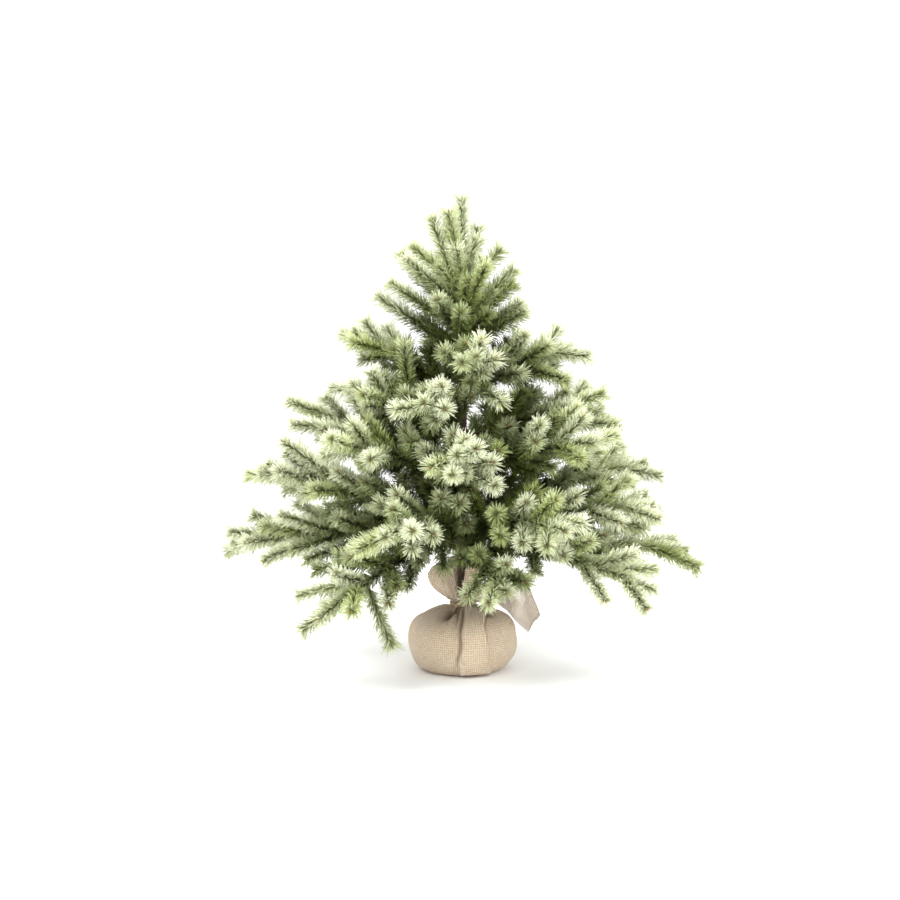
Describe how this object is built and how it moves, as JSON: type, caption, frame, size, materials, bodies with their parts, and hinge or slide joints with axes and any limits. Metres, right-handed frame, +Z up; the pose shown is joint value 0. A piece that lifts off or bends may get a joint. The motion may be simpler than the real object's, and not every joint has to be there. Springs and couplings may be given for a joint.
{
  "type": "artificial tabletop tree",
  "caption": "Small artificial pine tree on a burlap-wrapped weighted foot, with frosted green needles on wire branches that bend at the trunk.",
  "frame": {"origin": "on the surface that the tree stands on, under the middle of the trunk", "axes": "+Z up along the trunk, -Y towards the front of the tree, +X to its right as seen from the front"},
  "size_m": [0.586, 0.4611, 0.588],
  "materials": {
    "burlap": "coarse plain-woven jute, matt, tan with darker slubs and open weave",
    "twine": "two-ply jute twine, matt and hairy",
    "cup_plastic": "thin black moulded plastic",
    "cement": "rough cast cement with pits",
    "pole_steel": "drawn wire rod",
    "trunk_tape": "dark brown crinkled tape wound in overlapping turns",
    "wire_tape": "twisted steel wire wound with brown tape",
    "needles": "cut plastic needles, olive green with frosted pale green tips"
  },
  "bodies": {
    "trunk": {"burlap_wrap": "burlap", "twine_tie": "twine", "casting_cup": "cup_plastic", "cast_weight": "cement", "pole": "pole_steel", "pole_tape": "trunk_tape", "crown_wires": "wire_tape", "crown_needles": "needles"},
    "branch_01": {"branch_01_wire": "wire_tape", "branch_01_needles": "needles"},
    "branch_02": {"branch_02_wire": "wire_tape", "branch_02_needles": "needles"},
    "branch_03": {"branch_03_wire": "wire_tape", "branch_03_needles": "needles"},
    "branch_04": {"branch_04_wire": "wire_tape", "branch_04_needles": "needles"},
    "branch_05": {"branch_05_wire": "wire_tape", "branch_05_needles": "needles"},
    "branch_06": {"branch_06_wire": "wire_tape", "branch_06_needles": "needles"},
    "branch_07": {"branch_07_wire": "wire_tape", "branch_07_needles": "needles"},
    "branch_08": {"branch_08_wire": "wire_tape", "branch_08_needles": "needles"},
    "branch_09": {"branch_09_wire": "wire_tape", "branch_09_needles": "needles"},
    "branch_10": {"branch_10_wire": "wire_tape", "branch_10_needles": "needles"},
    "branch_11": {"branch_11_wire": "wire_tape", "branch_11_needles": "needles"},
    "branch_12": {"branch_12_wire": "wire_tape", "branch_12_needles": "needles"},
    "branch_13": {"branch_13_wire": "wire_tape", "branch_13_needles": "needles"},
    "branch_14": {"branch_14_wire": "wire_tape", "branch_14_needles": "needles"},
    "branch_15": {"branch_15_wire": "wire_tape", "branch_15_needles": "needles"},
    "branch_16": {"branch_16_wire": "wire_tape", "branch_16_needles": "needles"},
    "branch_17": {"branch_17_wire": "wire_tape", "branch_17_needles": "needles"},
    "branch_18": {"branch_18_wire": "wire_tape", "branch_18_needles": "needles"},
    "branch_19": {"branch_19_wire": "wire_tape", "branch_19_needles": "needles"},
    "branch_20": {"branch_20_wire": "wire_tape", "branch_20_needles": "needles"},
    "branch_21": {"branch_21_wire": "wire_tape", "branch_21_needles": "needles"},
    "branch_22": {"branch_22_wire": "wire_tape", "branch_22_needles": "needles"},
    "branch_23": {"branch_23_wire": "wire_tape", "branch_23_needles": "needles"},
    "branch_24": {"branch_24_wire": "wire_tape", "branch_24_needles": "needles"},
    "branch_25": {"branch_25_wire": "wire_tape", "branch_25_needles": "needles"},
    "branch_26": {"branch_26_wire": "wire_tape", "branch_26_needles": "needles"}
  },
  "joints": [
    {"name": "branch_01_bend", "type": "hinge", "parent": "trunk", "child": "branch_01", "pos_m": [0.01039, -0.00036, 0.148], "axis": [-0.0349, -0.9994, 0], "range_deg": [-12, 4], "deforming": ["branch_01_needles"]},
    {"name": "branch_02_bend", "type": "hinge", "parent": "trunk", "child": "branch_02", "pos_m": [-0.0104, 0, 0.1615], "axis": [0, 1, 0], "range_deg": [-12, 16], "deforming": ["branch_02_needles"]},
    {"name": "branch_03_bend", "type": "hinge", "parent": "trunk", "child": "branch_03", "pos_m": [-0.00709, -0.00761, 0.175], "axis": [-0.7314, 0.682, 0], "range_deg": [-12, 22], "deforming": ["branch_03_needles"]},
    {"name": "branch_04_bend", "type": "hinge", "parent": "trunk", "child": "branch_04", "pos_m": [0.00287, -0.01, 0.157], "axis": [-0.9613, -0.2756, 0], "range_deg": [-12, 17], "deforming": ["branch_04_needles"]},
    {"name": "branch_05_bend", "type": "hinge", "parent": "trunk", "child": "branch_05", "pos_m": [0.00882, -0.00551, 0.1705], "axis": [-0.5299, -0.848, 0], "range_deg": [-5, 11], "deforming": ["branch_05_needles"]},
    {"name": "branch_06_bend", "type": "hinge", "parent": "trunk", "child": "branch_06", "pos_m": [0.00488, 0.00918, 0.1525], "axis": [0.8829, -0.4695, 0], "range_deg": [-12, 24], "deforming": ["branch_06_needles"]},
    {"name": "branch_07_bend", "type": "hinge", "parent": "trunk", "child": "branch_07", "pos_m": [-0.0052, 0.00901, 0.166], "axis": [0.866, 0.5, 0], "range_deg": [-12, 12], "deforming": ["branch_07_needles"]},
    {"name": "branch_08_bend", "type": "hinge", "parent": "trunk", "child": "branch_08", "pos_m": [0.01017, -0.00216, 0.183], "axis": [-0.2079, -0.9781, 0], "range_deg": [-11, 9], "deforming": ["branch_08_needles"]},
    {"name": "branch_09_bend", "type": "hinge", "parent": "trunk", "child": "branch_09", "pos_m": [0.01005, 0.00269, 0.1965], "axis": [0.2588, -0.9659, 0], "range_deg": [-9, 24], "deforming": ["branch_09_needles"]},
    {"name": "branch_10_bend", "type": "hinge", "parent": "trunk", "child": "branch_10", "pos_m": [-0.0103, -0.00145, 0.183], "axis": [-0.1392, 0.9903, 0], "range_deg": [-15, 18], "deforming": ["branch_10_needles"]},
    {"name": "branch_11_bend", "type": "hinge", "parent": "trunk", "child": "branch_11", "pos_m": [-0.00423, -0.0095, 0.1965], "axis": [-0.9135, 0.4067, 0], "range_deg": [-15, 23], "deforming": ["branch_11_needles"]},
    {"name": "branch_12_bend", "type": "hinge", "parent": "trunk", "child": "branch_12", "pos_m": [0.00566, -0.00872, 0.183], "axis": [-0.8387, -0.5446, 0], "range_deg": [-11, 32], "deforming": ["branch_12_needles"]},
    {"name": "branch_13_bend", "type": "hinge", "parent": "trunk", "child": "branch_13", "pos_m": [-0.00036, 0.01039, 0.1965], "axis": [0.9994, 0.0349, 0], "range_deg": [-11, 33], "deforming": ["branch_13_needles"]},
    {"name": "branch_14_bend", "type": "hinge", "parent": "trunk", "child": "branch_14", "pos_m": [-0.01024, 0.00181, 0.232], "axis": [0.1736, 0.9848, 0], "range_deg": [-15, 27], "deforming": ["branch_14_needles"]},
    {"name": "branch_15_bend", "type": "hinge", "parent": "trunk", "child": "branch_15", "pos_m": [-0.00841, -0.00611, 0.2455], "axis": [-0.5878, 0.809, 0], "range_deg": [-15, 24], "deforming": ["branch_15_needles"]},
    {"name": "branch_16_bend", "type": "hinge", "parent": "trunk", "child": "branch_16", "pos_m": [-0.00036, -0.01039, 0.2365], "axis": [-0.9994, 0.0349, 0], "range_deg": [-15, 25], "deforming": ["branch_16_needles"]},
    {"name": "branch_17_bend", "type": "hinge", "parent": "trunk", "child": "branch_17", "pos_m": [0.00918, -0.00488, 0.25], "axis": [-0.4695, -0.8829, 0], "range_deg": [-15, 10], "deforming": ["branch_17_needles"]},
    {"name": "branch_18_bend", "type": "hinge", "parent": "trunk", "child": "branch_18", "pos_m": [0.00551, 0.00882, 0.241], "axis": [0.848, -0.5299, 0], "range_deg": [-15, 42], "deforming": ["branch_18_needles"]},
    {"name": "branch_19_bend", "type": "hinge", "parent": "trunk", "child": "branch_19", "pos_m": [-0.00989, -0.00321, 0.288], "axis": [-0.309, 0.9511, 0], "range_deg": [-15, 20], "deforming": ["branch_19_needles"]},
    {"name": "branch_20_bend", "type": "hinge", "parent": "trunk", "child": "branch_20", "pos_m": [-0.00356, -0.00977, 0.3015], "axis": [-0.9397, 0.342, 0], "range_deg": [-15, 32], "deforming": ["branch_20_needles"]},
    {"name": "branch_21_bend", "type": "hinge", "parent": "trunk", "child": "branch_21", "pos_m": [0.01039, 0.00036, 0.297], "axis": [0.0349, -0.9994, 0], "range_deg": [-13, 35], "deforming": ["branch_21_needles"]},
    {"name": "branch_22_bend", "type": "hinge", "parent": "trunk", "child": "branch_22", "pos_m": [-0.0039, 0.00964, 0.2925], "axis": [0.9272, 0.3746, 0], "range_deg": [-15, 21], "deforming": ["branch_22_needles"]},
    {"name": "branch_23_bend", "type": "hinge", "parent": "trunk", "child": "branch_23", "pos_m": [-0.01017, 0.00216, 0.343], "axis": [0.2079, 0.9781, 0], "range_deg": [-15, 24], "deforming": ["branch_23_needles"]},
    {"name": "branch_24_bend", "type": "hinge", "parent": "trunk", "child": "branch_24", "pos_m": [0.01017, 0.00216, 0.3565], "axis": [0.2079, -0.9781, 0], "range_deg": [-15, 28], "deforming": ["branch_24_needles"]},
    {"name": "branch_25_bend", "type": "hinge", "parent": "trunk", "child": "branch_25", "pos_m": [0.00145, -0.0103, 0.352], "axis": [-0.9903, -0.1392, 0], "range_deg": [-15, 34], "deforming": ["branch_25_needles"]},
    {"name": "branch_26_bend", "type": "hinge", "parent": "trunk", "child": "branch_26", "pos_m": [-0.00072, 0.01038, 0.3475], "axis": [0.9976, 0.0698, 0], "range_deg": [-15, 32], "deforming": ["branch_26_needles"]}
  ]
}
